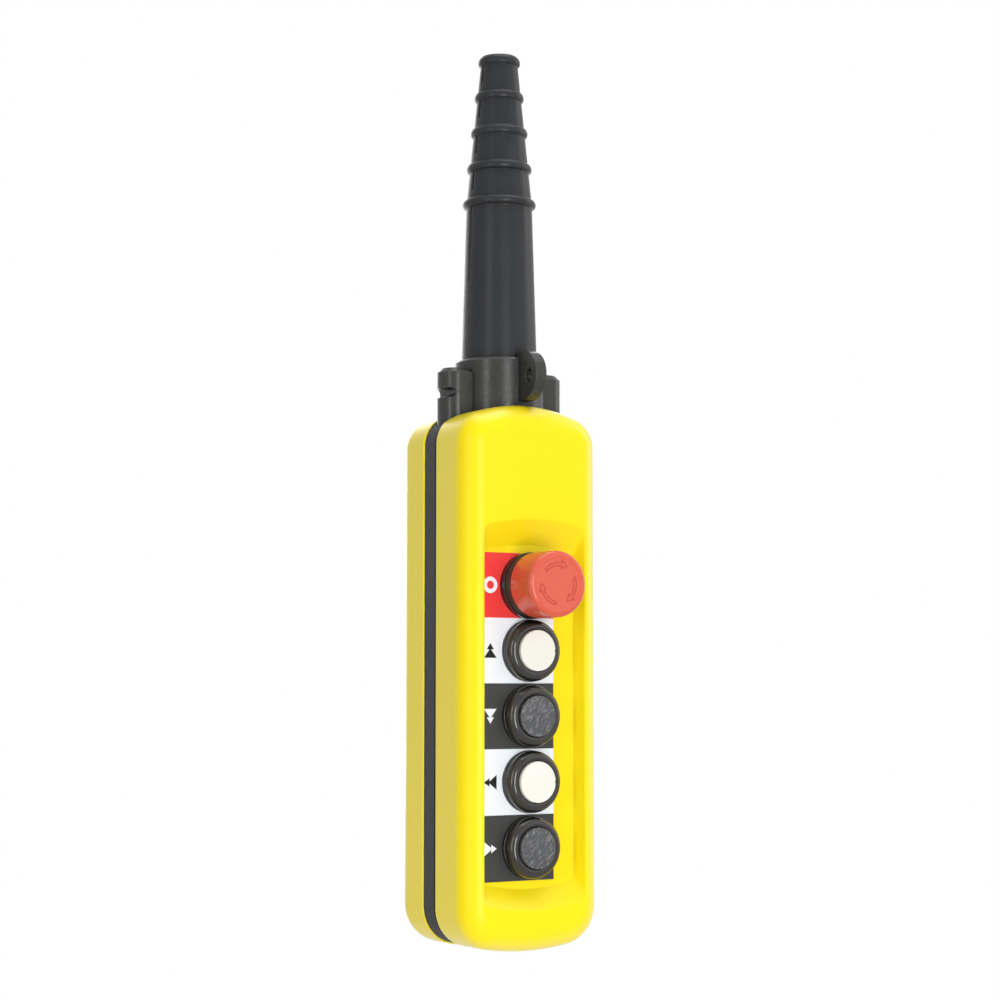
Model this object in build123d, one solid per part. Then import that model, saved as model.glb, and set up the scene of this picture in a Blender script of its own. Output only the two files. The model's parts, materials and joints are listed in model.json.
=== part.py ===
from build123d import *
from math import cos, pi, sin, sqrt
import os

# A hanging pushbutton station for a hoist: two yellow covers closed on a rubber
# gasket, a stepped cable boot in a black collar, an emergency stop head and four
# two-step pushbuttons in one row, each with its own contact block inside.
#
# Millimetres. +Z is up, -Y faces the user, and the origin is the middle of the
# mouth of the cable boot, where the station hangs from its cable.
# Pieces of the casing and the operators are drawn in a flat frame of their own:
# x to the right, y up and z towards the user. FACE turns that frame into place.

FACE = Plane(origin=(0, 0, 0), x_dir=(1, 0, 0), z_dir=(0, -1, 0))

# Heights, measured down from the mouth of the boot
casing_top = -185.5
collar_top = -160.4
first_head_drop = 91.3
head_names = ("stop", "up", "down", "left", "right")
head_pitch = 32.5
panel_head_margin = 20.3
casing_foot_margin = 30.9

# Casing
casing_width = 80.0
casing_half_depth = 35.0
wall = 3.0
edge_round = 12.0
top_arch_radius = 90.0
bottom_arch_radius = 140.0
top_corner = 16.0
bottom_corner = 20.0
front_rim = 4.2
rear_rim = -8.4

# Recessed panel in the front cover
panel_face = 27.0
panel_side_margin = 13.0
recess_draft = 3.0
panel_arch_rise = 3.5
ramp_top = 12.7
ramp_bottom = 10.1
panel_corner = 4.0
crest_round = 1.6
crest_search = 2.0
crest_search_width = 2.4

# Gasket between the covers
gasket_thickness = 4.0
gasket_step = 0.7
gasket_groove = 1.2
gasket_groove_depth = 0.8

# Cover screws, driven from the back into inserts in the front cover
screw_side_margin = 8.0
screw_top_margin = 25.5
screw_foot_margin = 20.5
screw_radius = 1.9
screw_head_radius = 3.4
screw_head_height = 2.6
screw_seat = -14.0
screw_tip = 2.0
screw_slot_width = 1.0
screw_slot_depth = 1.0
insert_radius = 2.7
insert_length = 9.0
boss_radius = 4.6
tower_radius = 5.4
counterbore_radius = 3.9
joint_gap = 0.3
slip = 0.05

# Collar on top of the casing
collar_radius = 23.0
collar_bore = 19.7
collar_depth = 12.0
lip_radius = 25.6
lip_height = 4.0
wing_x = 26.7
wing_radius = 9.0
wing_top = -165.8
wing_slot_height = 4.9
wing_slot_middle = -178.7
wing_slot_length = 5.2
lug_thickness = 6.0
lug_radius = 12.5
lug_centre_y = -27.6
lug_centre_z = -170.6
eye_radius = 3.5
eye_y = -33.0
eye_z = -171.0
collar_clearance = 0.3
collar_edge = 1.2
wing_edge = 2.2
wing_inner_x = 12.0

# Cable boot
boot_mouth_radius = 9.2
boot_shoulder_radius = 17.0
boot_foot_radius = 19.4
bead_pitch = 18.85
bead_rises = (1.4, 1.4, 1.5, 1.7, 2.0)
bead_half_height = 2.3
mouth_land = 0.4
bead_crest_share = 0.45
boot_bore = 6.8
boot_bore_length = 14.0
boot_wall = 2.6
boot_flange_radius = 22.0
boot_flange_height = 2.4

# Cable clamp strap below the boot, screwed to two posts of the rear cover
clamp_height = -222.0
clamp_half_height = 5.0
clamp_half_width = 18.0
clamp_arch_half = 9.5
clamp_arch_top = 10.0
clamp_seat = -7.0
clamp_ear_thickness = 3.0
clamp_notch = 6.2
clamp_screw_x = 13.6
clamp_screw_radius = 1.6
clamp_head_radius = 3.0
clamp_head_height = 2.0
clamp_screw_length = 12.0
clamp_post_radius = 4.0

# Legend plates
legend_side_margin = 0.2
legend_width = 41.8
legend_thickness = 0.4

# Pushbutton heads; heights are above the legend plate
neck_radius = 10.9
neck_end = 14.0
hole_clearance = 0.25
flange_radius = 15.5
flange_height = 1.9
ring_radius = 15.3
ring_groove = 0.5
ring_wall_top = 4.3
ring_crest = 8.2
ring_crest_radius = 11.9
ring_lip = 8.0
cap_radius = 10.2
cap_gap = 0.3
cap_face = 9.6
cap_skirt = 3.9
cap_wall = 1.3
cap_top_thickness = 2.0
cap_edge = 0.5
well_floor = 0.8
spring_well = 8.8
guide_length = 8.0
stem_radius = 5.0
stem_fit = 0.05
stem_end = 10.0
stem_stop_radius = 6.4
stem_stop_thickness = 1.5
nut_half_flats = 13.5
nut_thickness = 4.0

# Return springs
spring_radius = 7.2
spring_wire = 0.9
spring_turns = 4
spring_sides = 10

# Emergency stop head
stop_flange_radius = 16.7
stop_flange_height = 4.0
stop_collar_radius = 12.6
stop_collar_top = 13.0
gaiter_radius = 16.3
gaiter_bore = 13.2
gaiter_fold = 0.6
knob_radius = 16.5
knob_bottom = 9.3
knob_face = 28.0
knob_rim = 3.0
knob_wall = 2.6
knob_top_thickness = 3.4
knob_dish = 0.5
knob_dish_radius = 12.6
hub_radius = 6.4
spigot_radius = 3.4
spigot_length = 9.0
stop_shoulder_radius = 8.2
stop_shoulder_low = 10.0
stop_shoulder_top = 12.0

# Contact blocks
block_half_width = 20.0
block_half_height = 14.0
block_front = 4.5
block_back = -22.0
chamber_front = 0.0
chamber_back = -9.0
chamber_half_width = 15.0
plunger_radius = 3.2
plunger_tail = -10.0
tail_bore_end = -16.0
bridge_half_width = 13.0
bridge_half_height = 3.0
bridge_front = -2.0
bridge_thickness = 1.2
terminal_inner = 9.0
terminal_outer = 19.0
terminal_half_height = 3.0
terminal_thickness = 0.9
terminal_screw_x = 16.6
terminal_head = 2.6
terminal_head_height = 1.8
terminal_shank = 1.3
terminal_well = 2.9
terminal_well_depth = 3.4

# Rail that carries the contact blocks
rail_thickness = 2.0
rail_half_width = 17.0
rail_overhang = 10.0
rail_screw_inset = 4.0
rail_screw_x = 11.0
rail_post_radius = 4.0
rail_screw_radius = 1.6
rail_head_radius = 2.9
rail_head_height = 1.6
rail_screw_length = 8.0

# Round stretches of repeated turned pieces are drawn with a few chords
round_chords = 3

# Worked out from the sizes above
label_face = panel_face + legend_thickness
back_of_panel = panel_face - wall
first_head = casing_top - first_head_drop
heads = {name: first_head - index * head_pitch for index, name in enumerate(head_names)}
panel_top = heads["stop"] + panel_head_margin
panel_bottom = heads["right"] - panel_head_margin
casing_bottom = panel_bottom - casing_foot_margin
panel_half_width = casing_width / 2 - panel_side_margin
legend_left = legend_side_margin - panel_half_width
legend_right = legend_left + legend_width
screw_x = casing_width / 2 - screw_side_margin
screw_heights = (
    casing_top - screw_top_margin,
    (casing_top - screw_top_margin + casing_bottom + screw_foot_margin) / 2,
    casing_bottom + screw_foot_margin,
)
inner_edge = (edge_round - wall) * (2 - sqrt(2))
rail_front = block_back
rail_back = block_back - rail_thickness
rail_top = heads["stop"] + block_half_height + rail_overhang
rail_low = heads["right"] - block_half_height - rail_overhang
rear_inside = -(casing_half_depth - wall)
collar_bottom = casing_top - collar_depth
collar_foot = collar_bottom - lip_height
bezel_bore = cap_radius + cap_gap
cap_underside = label_face + cap_face - cap_top_thickness
spring_seat = neck_end + guide_length
post_foot = rear_rim + joint_gap


def arched_face(half_width, top, bottom, top_radius, bottom_radius, round_top, round_bottom):
    """A tall panel with two straight sides, bowed ends and round corners."""
    drop = top_radius - sqrt(top_radius**2 - half_width**2)
    rise = bottom_radius - sqrt(bottom_radius**2 - half_width**2)
    edges = [
        Line((-half_width, bottom + rise), (-half_width, top - drop)),
        ThreePointArc((-half_width, top - drop), (0, top), (half_width, top - drop)),
        Line((half_width, top - drop), (half_width, bottom + rise)),
        ThreePointArc((half_width, bottom + rise), (0, bottom), (-half_width, bottom + rise)),
    ]
    face = make_face(edges)
    rows = face.vertices().group_by(Axis.Y)
    face = fillet(rows[-1], radius=round_top)
    rows = face.vertices().sort_by(Axis.Y)[:2]
    return fillet(rows, radius=round_bottom)


def casing_outline(inset=0.0):
    return arched_face(
        casing_width / 2 - inset,
        casing_top - inset,
        casing_bottom + inset,
        top_arch_radius - inset,
        bottom_arch_radius - inset,
        top_corner - inset,
        bottom_corner - inset,
    )


def slab(face, low, high):
    """A flat face raised from the height low to the height high."""
    return extrude(Pos(0, 0, low) * face, amount=high - low)


def disc(radius, low, high, x=0.0, y=0.0):
    return Pos(x, y, (low + high) / 2) * Cylinder(radius, high - low)


def block(x0, x1, y0, y1, z0, z1):
    """A box between two corners."""
    centre = Pos((x0 + x1) / 2, (y0 + y1) / 2, (z0 + z1) / 2)
    return centre * Box(x1 - x0, y1 - y0, z1 - z0)


def turned(edges):
    """A body turned about the z axis from its outline in the x-z plane."""
    return revolve(make_face(edges), axis=Axis.Z)


def run(points):
    """Straight edges through points given as (radius, height)."""
    return [Line((a[0], 0, a[1]), (b[0], 0, b[1])) for a, b in zip(points, points[1:])]


def quarter(start, end):
    """Points of a quarter round that leaves start upwards and reaches end inwards."""
    wide, tall = start[0] - end[0], end[1] - start[1]
    turns = [pi / 2 * step / round_chords for step in range(round_chords + 1)]
    return [(end[0] + wide * cos(turn), start[1] + tall * sin(turn)) for turn in turns]


def recess(grow=0.0, depth_shift=0.0):
    """The panel's recess: near-upright sides, long ramps above and below."""
    depth = casing_half_depth - panel_face

    def section(share):
        half = panel_half_width + grow + share * recess_draft
        arch = (half**2 + panel_arch_rise**2) / (2 * panel_arch_rise)
        top = panel_top + grow + share * ramp_top
        bottom = panel_bottom - grow - share * ramp_bottom
        corner = panel_corner + grow
        face = arched_face(half, top, bottom, arch, arch, corner, corner)
        return Pos(0, 0, panel_face - depth_shift + share * depth) * face

    over = 1.3
    return loft([section(0.0), section(over)], ruled=True)


def collar_cutter(clearance):
    """The upright passage that the covers and the gasket leave for the collar."""
    low = collar_foot
    height = collar_top - low
    shaft = Pos(0, 0, low + height / 2) * Cylinder(collar_radius + clearance, height)
    wings = extrude(
        Pos(0, 0, low) * SlotCenterToCenter(2 * wing_x, 2 * (wing_radius + clearance)),
        amount=height,
    )
    return FACE.to_local_coords(shaft + wings)


def is_crest(edge):
    """Whether an edge is where the recess meets the outside of the front cover."""
    box = edge.bounding_box()
    limit = panel_half_width + recess_draft + crest_search_width
    narrow = max(abs(box.min.X), abs(box.max.X)) < limit
    return narrow and box.min.Z > panel_face + crest_search


def front_cover():
    """Moulded front shell: bowed and rounded outside, recessed panel, even wall."""
    outer = slab(casing_outline(), front_rim, casing_half_depth)
    outer = fillet(outer.faces().sort_by(Axis.Z)[-1].edges(), radius=edge_round)
    outer = outer - recess()
    outer = fillet([edge for edge in outer.edges() if is_crest(edge)], radius=crest_round)
    hollow = slab(casing_outline(wall), front_rim, casing_half_depth - wall)
    hollow = chamfer(hollow.faces().sort_by(Axis.Z)[-1].edges(), length=inner_edge)
    hollow = hollow - recess(grow=wall, depth_shift=wall)
    shell = outer - hollow
    for x, y in screw_places():
        post = disc(boss_radius, front_rim, casing_half_depth - wall / 2, x, y) & outer
        foot = disc(boss_radius, post_foot, front_rim, x, y)
        bore = disc(insert_radius + slip, post_foot, post_foot + insert_length, x, y)
        pilot = disc(screw_radius + slip, post_foot, screw_tip + joint_gap, x, y)
        shell = shell + post + foot - bore - pilot
    for height in heads.values():
        shell = shell - disc(neck_radius + hole_clearance, back_of_panel, panel_face, 0, height)
    return shell - collar_cutter(collar_clearance)


def rear_cover():
    """Moulded back shell with screw towers and the posts of the clamp and the rail."""
    outer = slab(casing_outline(), -casing_half_depth, rear_rim)
    outer = fillet(outer.faces().sort_by(Axis.Z)[0].edges(), radius=edge_round)
    hollow = slab(casing_outline(wall), rear_inside, rear_rim)
    hollow = chamfer(hollow.faces().sort_by(Axis.Z)[0].edges(), length=inner_edge)
    shell = outer - hollow
    for x, y in screw_places():
        tower = disc(tower_radius, wall / 2 - casing_half_depth, rear_rim, x, y) & outer
        well = disc(counterbore_radius, -casing_half_depth, screw_seat, x, y)
        hole = disc(screw_radius + hole_clearance, -casing_half_depth, rear_rim, x, y)
        shell = shell + tower - well - hole
    for x, y in rail_screw_places():
        post = disc(rail_post_radius, rear_inside - wall / 2, rail_back, x, y)
        hole = disc(rail_screw_radius + slip, rail_front - rail_screw_length, rail_back, x, y)
        shell = shell + post - hole
    for x, y in clamp_screw_places():
        post = disc(clamp_post_radius, rear_inside - wall / 2, clamp_seat, x, y)
        deep = clamp_seat + clamp_ear_thickness - clamp_screw_length
        shell = shell + post - disc(clamp_screw_radius + slip, deep, clamp_seat, x, y)
    return shell - collar_cutter(collar_clearance)


def housing_gasket():
    """Rubber band between the covers, a little inside their faces, with one groove."""
    outline = casing_outline(gasket_step)
    band = slab(outline, rear_rim, front_rim)
    band = band - slab(casing_outline(gasket_step + gasket_thickness), rear_rim, front_rim)
    groove_top = front_rim - gasket_groove
    groove_low = groove_top - gasket_groove
    groove = slab(outline, groove_low, groove_top)
    floor = casing_outline(gasket_step + gasket_groove_depth)
    groove = groove - slab(floor, groove_low, groove_top)
    band = band - groove
    for x, y in screw_places():
        band = band - disc(boss_radius + joint_gap, post_foot, front_rim, x, y)
    return band - collar_cutter(collar_clearance)


def screw_places():
    return [(side * screw_x, height) for height in screw_heights for side in (-1, 1)]


def rail_screw_places():
    rows = (rail_top - rail_screw_inset, rail_low + rail_screw_inset)
    return [(side * rail_screw_x, height) for height in rows for side in (-1, 1)]


def clamp_screw_places():
    return [(side * clamp_screw_x, clamp_height) for side in (-1, 1)]


def screw(place, head_radius, head_height, shank_radius, seat, tip):
    """A screw along z whose head stands on the seat, on the side away from the tip."""
    x, y = place
    out = 1 if seat > tip else -1
    top = seat + out * head_height
    head = disc(head_radius, min(seat, top), max(seat, top), x, y)
    return head + disc(shank_radius, min(seat, tip), max(seat, tip), x, y)


def cover_screws():
    """Slotted screws, their heads in the counterbores of the rear cover."""
    head_top = screw_seat - screw_head_height
    half = screw_slot_width / 2
    screws = []
    for x, y in screw_places():
        body = screw(
            (x, y), screw_head_radius, screw_head_height, screw_radius, screw_seat, screw_tip
        )
        screws.append(body - block(
            x - screw_head_radius, x + screw_head_radius, y - half, y + half,
            head_top, head_top + screw_slot_depth,
        ))
    return screws


def screw_inserts():
    top = post_foot + insert_length
    return [
        disc(insert_radius, post_foot, top, x, y) - disc(screw_radius + slip, post_foot, top, x, y)
        for x, y in screw_places()
    ]


def upright(radius, low, high):
    """A cylinder about the axis of the station, between two heights."""
    return Pos(0, 0, (low + high) / 2) * Cylinder(radius, high - low)


def entry_collar():
    """Black collar: round tube with a lip inside the casing, and the front lug with its eye."""
    tube = upright(collar_radius, collar_bottom, collar_top)
    tube = chamfer(tube.faces().sort_by(Axis.Z)[-1].edges(), length=collar_edge)
    body = tube + upright(lip_radius, collar_foot, collar_bottom)
    side = Plane.YZ
    plate = side * Pos(lug_centre_y, lug_centre_z) * Circle(lug_radius)
    root_length = collar_edge - lug_centre_y - collar_radius
    root_centre = lug_centre_y + root_length / 2
    plate = plate + side * Pos(root_centre, lug_centre_z) * Rectangle(root_length, 2 * lug_radius)
    body = body + extrude(plate, amount=lug_thickness / 2, both=True)
    eye = side * Pos(eye_y, eye_z) * Circle(eye_radius)
    body = body - extrude(eye, amount=lug_thickness, both=True)
    body = body - upright(collar_bore, collar_foot, collar_top)
    return body - upright(boot_flange_radius + slip, collar_foot, collar_foot + boot_flange_height)


def collar_wing():
    """Side wing on the right of the collar: round outside, hollowed to fit the tube."""
    low = collar_bottom + slip
    outline = Pos(wing_x, 0) * Circle(wing_radius)
    outline = outline + Pos((wing_inner_x + wing_x) / 2, 0) * Rectangle(
        wing_x - wing_inner_x, 2 * wing_radius
    )
    wing = slab(outline, low, wing_top)
    wing = wing - upright(collar_radius + slip, low, wing_top)
    return chamfer(wing.faces().sort_by(Axis.Z)[-1].edges(), length=wing_edge)


def wing_slot():
    """The slot through the left wing, open to its outer side."""
    place = Plane.XZ * Pos(-wing_x - wing_radius, wing_slot_middle)
    outline = place * SlotOverall(2 * wing_slot_length, wing_slot_height)
    return extrude(outline, amount=wing_radius, both=True)


def cable_boot():
    """Stepped rubber sleeve, hollow all the way, with a flange held under the collar."""
    first = -mouth_land - bead_half_height
    lowest = first - (len(bead_rises) - 1) * bead_pitch
    slope = (boot_shoulder_radius - boot_mouth_radius) / -lowest

    def cone(z):
        return boot_mouth_radius - slope * z

    outside = [(boot_bore, 0.0), (boot_mouth_radius, 0.0)]
    for index, rise in enumerate(bead_rises):
        middle = first - index * bead_pitch
        crest = cone(middle) + rise
        for height in (bead_half_height, -bead_half_height):
            base = (cone(middle + height), middle + height)
            shoulder = (crest, middle + height * bead_crest_share)
            outside += [base, shoulder] if height > 0 else [shoulder, base]
    flange_top = collar_foot + boot_flange_height
    inner_foot = boot_foot_radius - boot_wall
    return turned(run(outside + [
        (boot_foot_radius, collar_top),
        (boot_foot_radius, flange_top),
        (boot_flange_radius, flange_top),
        (boot_flange_radius, collar_foot),
        (inner_foot, collar_foot),
        (inner_foot, collar_top),
        (boot_shoulder_radius - boot_wall, lowest),
        (boot_bore, -boot_bore_length),
        (boot_bore, 0.0),
    ]))


def cable_clamp():
    """Strap with a half-round notch that holds the cable down."""
    low, high = clamp_height - clamp_half_height, clamp_height + clamp_half_height
    ear_top = clamp_seat + clamp_ear_thickness
    strap = block(-clamp_half_width, clamp_half_width, low, high, clamp_seat, ear_top)
    strap = strap + block(-clamp_arch_half, clamp_arch_half, low, high, clamp_seat, clamp_arch_top)
    notch = Plane.XZ.offset(-high) * Circle(clamp_notch)
    strap = strap - extrude(notch, amount=high - low)
    strap = strap - block(-clamp_notch, clamp_notch, low, high, clamp_seat, 0)
    for x, y in clamp_screw_places():
        strap = strap - disc(clamp_screw_radius + hole_clearance, clamp_seat, ear_top, x, y)
    return strap


def clamp_screws():
    seat = clamp_seat + clamp_ear_thickness
    return [
        screw(place, clamp_head_radius, clamp_head_height, clamp_screw_radius, seat,
              seat - clamp_screw_length)
        for place in clamp_screw_places()
    ]


def contact_rail():
    rail = block(-rail_half_width, rail_half_width, rail_low, rail_top, rail_back, rail_front)
    for x, y in rail_screw_places():
        rail = rail - disc(rail_screw_radius + hole_clearance, rail_back, rail_front, x, y)
    return rail


def rail_screws():
    return [
        screw(place, rail_head_radius, rail_head_height, rail_screw_radius, rail_front,
              rail_front - rail_screw_length + joint_gap)
        for place in rail_screw_places()
    ]


def legend():
    """Thin plate over the panel, pierced for the neck of its operator."""
    half = head_pitch / 2
    plate = block(legend_left, legend_right, -half, half, panel_face, label_face)
    return plate - disc(neck_radius + hole_clearance, panel_face, label_face)


def bezel():
    """Fixed head of a pushbutton: threaded neck, flange and the fat round ring."""
    base = label_face + flange_height
    waist = ring_radius - ring_groove
    shoulder = (ring_radius, label_face + ring_wall_top)
    crest = (ring_crest_radius, label_face + ring_crest)
    return turned(run(quarter(shoulder, crest) + [
        (bezel_bore, label_face + ring_lip),
        (bezel_bore, label_face + well_floor),
        (spring_well, label_face + well_floor),
        (spring_well, spring_seat),
        (stem_radius + stem_fit, spring_seat),
        (stem_radius + stem_fit, neck_end),
        (neck_radius, neck_end),
        (neck_radius, label_face),
        (flange_radius, label_face),
        (flange_radius, base),
        (waist, base),
        (waist, base + ring_groove),
        (ring_radius, base + ring_groove),
        shoulder,
    ]))


def nut():
    """Hexagon nut that clamps a neck to the back of the panel."""
    low = back_of_panel - nut_thickness
    body = slab(RegularPolygon(nut_half_flats, 6, major_radius=False), low, back_of_panel)
    return body - disc(neck_radius + slip, low, back_of_panel)


def cap():
    """Button cap: flat face, eased edge and a short skirt."""
    face = label_face + cap_face
    inner = cap_radius - cap_wall
    return turned(run([
        (0, cap_underside),
        (inner, cap_underside),
        (inner, face - cap_skirt),
        (cap_radius, face - cap_skirt),
        (cap_radius, face - cap_edge),
        (cap_radius - cap_edge, face),
        (0, face),
        (0, cap_underside),
    ]))


def stem_foot():
    """Outline of the guided lower end of a stem, with the ring that stops its return."""
    top = neck_end - joint_gap
    return [
        (0, stem_end),
        (stem_radius, stem_end),
        (stem_radius, top - stem_stop_thickness),
        (stem_stop_radius, top - stem_stop_thickness),
        (stem_stop_radius, top),
        (stem_radius, top),
    ]


def button_stem():
    points = stem_foot() + [(stem_radius, cap_underside), (0, cap_underside), (0, stem_end)]
    return turned(run(points))


def spring(low, high):
    """Open coil drawn with straight chords, between two seats."""
    steps = spring_turns * spring_sides
    start = low + slip + spring_wire / 2
    rise = (high - joint_gap - spring_wire / 2 - start) / steps
    points = []
    for index in range(steps + 1):
        angle = 2 * pi * index / spring_sides
        points.append((spring_radius * cos(angle), spring_radius * sin(angle), start + index * rise))
    path = Polyline(*points)
    section = Plane(origin=path @ 0, z_dir=path % 0) * Rectangle(spring_wire, spring_wire)
    return sweep(section, path=path, transition=Transition.RIGHT)


def stop_base_ring():
    """Fixed head of the emergency stop: neck, flange and the tube that the knob slides over."""
    return turned(run([
        (stem_radius + stem_fit, neck_end),
        (neck_radius, neck_end),
        (neck_radius, label_face),
        (stop_flange_radius, label_face),
        (stop_flange_radius, label_face + stop_flange_height),
        (stop_collar_radius, label_face + stop_flange_height),
        (stop_collar_radius, label_face + stop_collar_top),
        (spring_well, label_face + stop_collar_top),
        (spring_well, spring_seat),
        (stem_radius + stem_fit, spring_seat),
        (stem_radius + stem_fit, neck_end),
    ]))


def stop_gaiter():
    """Rubber sleeve with one fold between the base ring and the knob."""
    low = label_face + stop_flange_height
    high = label_face + knob_bottom - joint_gap
    return turned(run([
        (gaiter_bore, low),
        (gaiter_radius, low),
        (gaiter_radius - gaiter_fold, (low + high) / 2),
        (gaiter_radius, high),
        (gaiter_bore, high),
        (gaiter_bore, low),
    ]))


def stop_stem():
    """Stem of the emergency stop, with the shoulder on its spring and the knob's spigot."""
    shoulder_low = label_face + stop_shoulder_low
    shoulder_top = label_face + stop_shoulder_top
    tip = shoulder_top + spigot_length
    points = stem_foot() + [
        (stem_radius, shoulder_low),
        (stop_shoulder_radius, shoulder_low),
        (stop_shoulder_radius, shoulder_top),
        (spigot_radius, shoulder_top),
        (spigot_radius, tip),
        (0, tip),
        (0, stem_end),
    ]
    return turned(run(points))


def stop_knob():
    """Red knob: round-edged cup with a dished face and a hub that turns on the spigot."""
    face = label_face + knob_face
    inner_top = face - knob_top_thickness
    inner = knob_radius - knob_wall
    hub_low = label_face + stop_shoulder_top + joint_gap
    bore_top = label_face + stop_shoulder_top + spigot_length + joint_gap
    bore = spigot_radius + stem_fit
    rim = quarter((knob_radius, face - knob_rim), (knob_radius - knob_rim, face))
    return turned(run(rim + [
        (knob_dish_radius, face),
        (knob_dish_radius - knob_dish, face - knob_dish),
        (0, face - knob_dish),
        (0, bore_top),
        (bore, bore_top),
        (bore, hub_low),
        (hub_radius, hub_low),
        (hub_radius, inner_top),
        (inner, inner_top),
        (inner, label_face + knob_bottom),
        (knob_radius, label_face + knob_bottom),
        rim[0],
    ]))


def contact_block():
    """Insulating block with a guided bore, a chamber for the bridge and two screw wells."""
    body = block(
        -block_half_width, block_half_width, -block_half_height, block_half_height,
        block_back, block_front,
    )
    body = body - block(
        -chamber_half_width, chamber_half_width, -block_half_height, block_half_height,
        chamber_back, chamber_front,
    )
    body = body - disc(plunger_radius + slip, tail_bore_end, block_front)
    for side in (-1, 1):
        x = side * terminal_screw_x
        inner, outer = sorted((side * terminal_inner, side * block_half_width))
        strip = block(
            inner, outer, -terminal_half_height, terminal_half_height,
            chamber_back, chamber_back + terminal_thickness,
        )
        well = disc(terminal_well, block_front - terminal_well_depth, block_front, x)
        body = body - strip - well - disc(terminal_shank + slip, chamber_back, block_front, x)
    return body


def contact_bridge():
    """Plunger with the cross bar that closes the contacts."""
    shaft = disc(plunger_radius, plunger_tail, stem_end)
    bar = block(
        -bridge_half_width, bridge_half_width, -bridge_half_height, bridge_half_height,
        bridge_front - bridge_thickness, bridge_front,
    )
    return shaft + bar


def contact_terminals():
    """Two contact strips and their terminal screws."""
    pieces = []
    top = chamber_back + terminal_thickness
    for side in (-1, 1):
        inner, outer = sorted((side * terminal_inner, side * terminal_outer))
        pieces.append(block(
            inner, outer, -terminal_half_height, terminal_half_height, chamber_back, top
        ))
        place = (side * terminal_screw_x, 0)
        seat = block_front - terminal_well_depth
        pieces.append(screw(place, terminal_head, terminal_head_height, terminal_shank, seat, top))
    return pieces


def save(name, shapes, place=FACE):
    """Writes one node, made of one solid or of a list of separate solids."""
    solids = shapes if isinstance(shapes, list) else [shapes]
    placed = [place * solid for solid in solids]
    shape = placed[0] if len(placed) == 1 else Compound(children=placed)
    export_step(shape, os.path.join("parts", name + ".step"))


os.makedirs("parts", exist_ok=True)
save("front_cover", front_cover())
save("rear_cover", rear_cover())
save("housing_gasket", housing_gasket())
save("cover_screws", cover_screws())
save("screw_inserts", screw_inserts())
save("entry_collar", entry_collar(), Location())
save("collar_wing_right", collar_wing(), Location())
save("collar_wing_left", Rot(0, 0, 180) * collar_wing() - wing_slot(), Location())
save("cable_boot", cable_boot(), Location())
save("cable_clamp", cable_clamp())
save("clamp_screws", clamp_screws())
save("contact_rail", contact_rail())
save("rail_screws", rail_screws())

head_pieces = {
    "bezel": bezel(),
    "nut": nut(),
    "cap": cap(),
    "stem": button_stem(),
    "spring": spring(spring_seat, cap_underside),
}
stop_pieces = {
    "base_ring": stop_base_ring(),
    "nut": nut(),
    "gaiter": stop_gaiter(),
    "knob": stop_knob(),
    "stem": stop_stem(),
    "spring": spring(spring_seat, label_face + stop_shoulder_low),
}
shared_pieces = {
    "legend": legend(),
    "contact_block": contact_block(),
    "contact_bridge": contact_bridge(),
    "contact_terminals": contact_terminals(),
}
for name, height in heads.items():
    own = stop_pieces if name == "stop" else head_pieces
    for piece, shape in {**own, **shared_pieces}.items():
        save(name + "_" + piece, shape, FACE * Pos(0, height, 0))
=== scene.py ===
# %% [markdown]
# A hanging pushbutton station is the control that a crane operator holds in one hand.
# Its solid model is already packed as a frame of named pieces. This lesson dresses that
# frame: it lights it, gives every piece its finish, and puts finer meshes where a plain
# solid would look too simple. The scene is in metres. Outlines are written in
# millimetres, as on a drawing, and MM turns them into metres.

import json
from math import cos, exp, pi, radians, sin, tan

import bmesh
import bpy
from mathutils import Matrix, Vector


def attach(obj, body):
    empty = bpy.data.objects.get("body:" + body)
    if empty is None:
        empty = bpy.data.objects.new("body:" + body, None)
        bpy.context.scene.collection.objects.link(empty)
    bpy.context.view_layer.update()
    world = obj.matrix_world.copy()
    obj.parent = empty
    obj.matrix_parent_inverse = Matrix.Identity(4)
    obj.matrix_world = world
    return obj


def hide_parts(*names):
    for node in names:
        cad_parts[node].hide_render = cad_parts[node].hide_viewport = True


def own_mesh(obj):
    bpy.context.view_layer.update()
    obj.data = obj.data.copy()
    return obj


MM = 0.001
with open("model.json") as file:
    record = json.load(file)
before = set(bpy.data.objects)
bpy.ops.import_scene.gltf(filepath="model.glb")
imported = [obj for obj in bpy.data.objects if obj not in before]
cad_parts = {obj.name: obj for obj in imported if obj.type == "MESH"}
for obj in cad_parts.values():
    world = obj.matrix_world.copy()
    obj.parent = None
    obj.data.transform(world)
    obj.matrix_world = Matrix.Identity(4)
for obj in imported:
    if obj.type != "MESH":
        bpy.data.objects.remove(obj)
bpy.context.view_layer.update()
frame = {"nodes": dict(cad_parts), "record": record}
nodes = frame["nodes"]

# %% [markdown]
# The camera comes first. The photograph looks at the station from its left and a
# little upwards, with a long lens. Its place could be found by trial, but edges and
# heads of known size give it better: position, direction and lens are worked out once
# from the width of the casing and the pitch of the heads, and written here as numbers.

# %% Camera
camera_data = bpy.data.cameras.new("photo_camera")
camera_data.lens = 80.5
camera_data.sensor_width = 36.0
camera_data.clip_end = 50.0
camera = bpy.data.objects.new("photo_camera", camera_data)
camera.location = (-0.60729, -0.97081, -0.32835)
forward = Vector((0.528764, 0.844582, 0.0842))
camera.rotation_euler = forward.to_track_quat("-Z", "Y").to_euler()
bpy.context.scene.collection.objects.link(camera)
bpy.context.scene.camera = camera
print("camera at", tuple(round(v, 4) for v in camera.location))

# %% [markdown]
# The studio. Area lamps are used and not point lamps, because glossy plastic shows the
# shape of what lights it. A tall softbox in front lights the casing and draws the
# highlights on the rings and the knob's edge. A narrow strip at the left lights the
# side, a wide lamp at the right and one above fill the recess, and two weak ones light
# the right edge and the back.

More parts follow.
